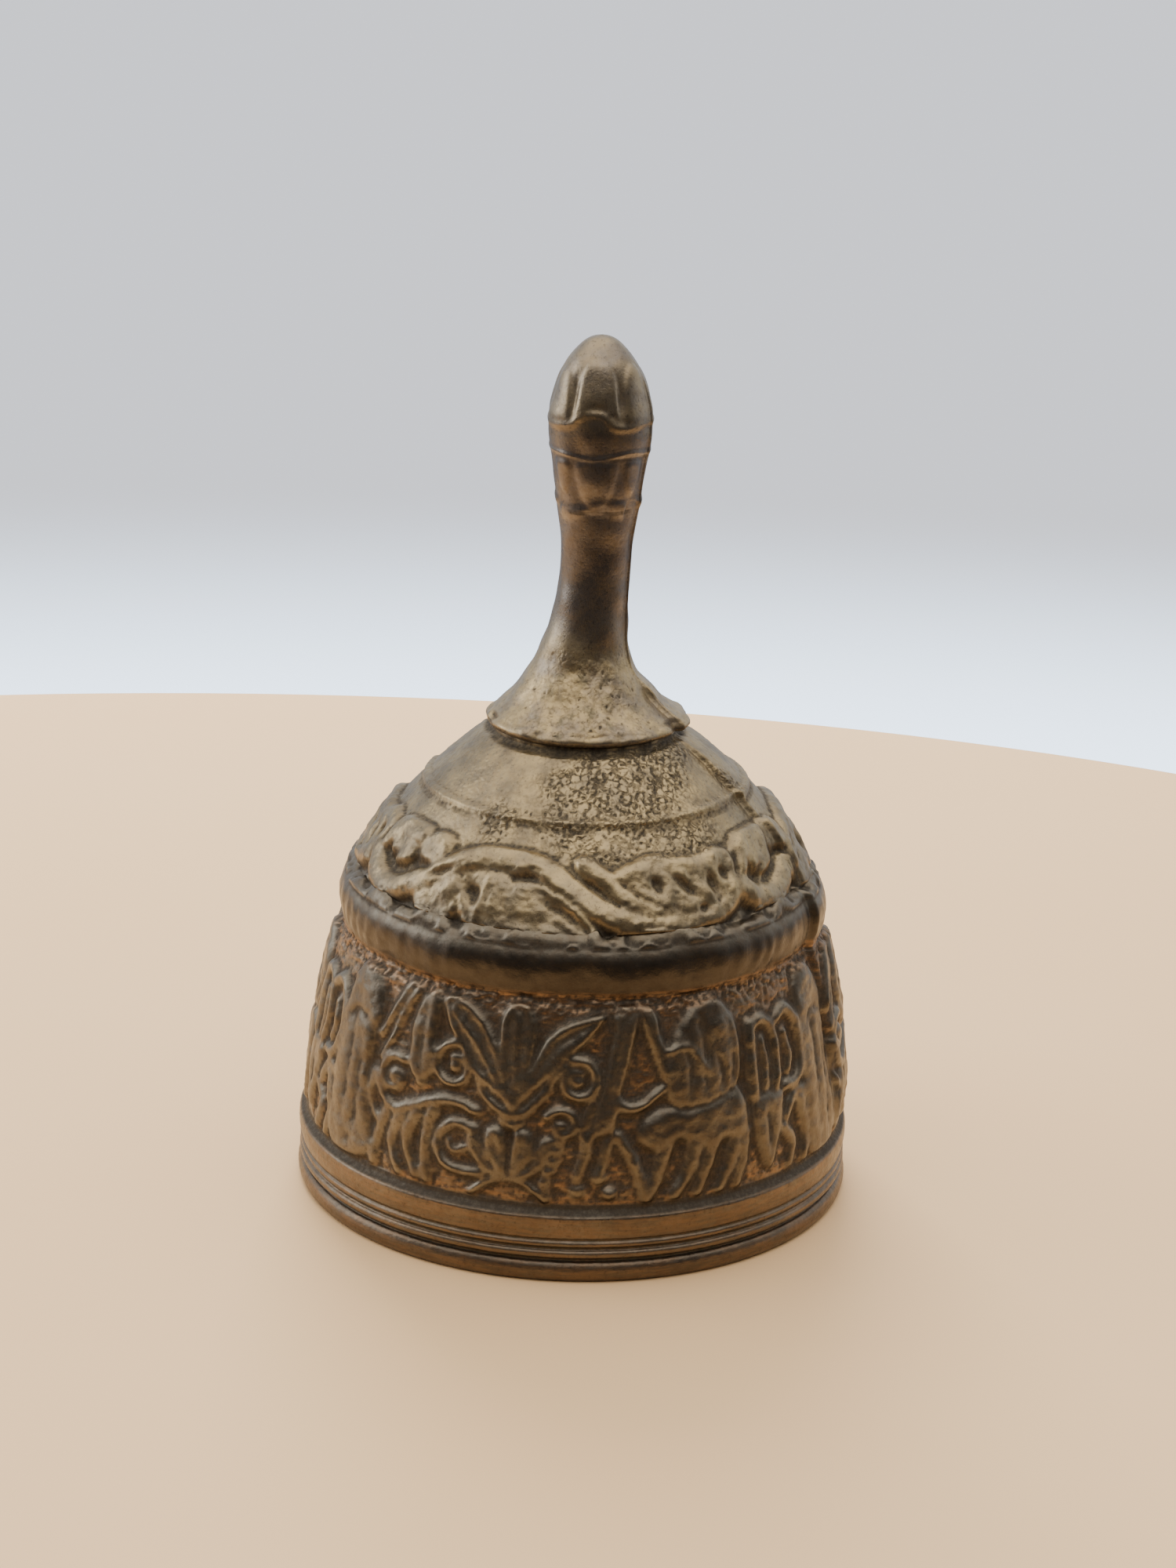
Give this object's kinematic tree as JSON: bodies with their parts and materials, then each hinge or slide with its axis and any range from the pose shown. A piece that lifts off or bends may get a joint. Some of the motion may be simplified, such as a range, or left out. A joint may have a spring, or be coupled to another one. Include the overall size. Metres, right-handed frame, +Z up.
{
  "type": "hand bell",
  "caption": "Cast brass table bell with a waisted shell, a relief frieze, a baluster handle screwed to the crown and a ball clapper hung on a wire link.",
  "frame": {"origin": "centre of the bell's mouth, on the surface that it stands on", "axes": "+Z up along the bell's axis towards the handle's tip, -Y towards the side that the picture shows"},
  "size_m": [0.0668, 0.0668, 0.103],
  "materials": {
    "cast_brass": "aged cast brass with a brown patina, dark in the grooves and worn on the high places",
    "worn_brass": "turned brass, dulled, rubbed bright where it strikes",
    "dark_iron": "black wrought iron wire with light rust"
  },
  "bodies": {
    "bell": {"bell_shell": "cast_brass", "handle": "cast_brass", "eye_bolt": "dark_iron", "crown_washer": "worn_brass", "lock_nut": "worn_brass"},
    "link": {"hanger_link": "dark_iron"},
    "clapper": {"clapper_rod": "dark_iron", "clapper_ball": "worn_brass"}
  },
  "joints": [
    {"name": "link_swing", "type": "hinge", "parent": "bell", "child": "link", "pos_m": [0, 0, 0.0436], "axis": [1, 0, 0], "range_deg": [-37, 37]},
    {"name": "clapper_sway", "type": "hinge", "parent": "link", "child": "clapper", "pos_m": [0, 0, 0.0391], "axis": [0, 1, 0], "range_deg": [-9, 9]}
  ]
}
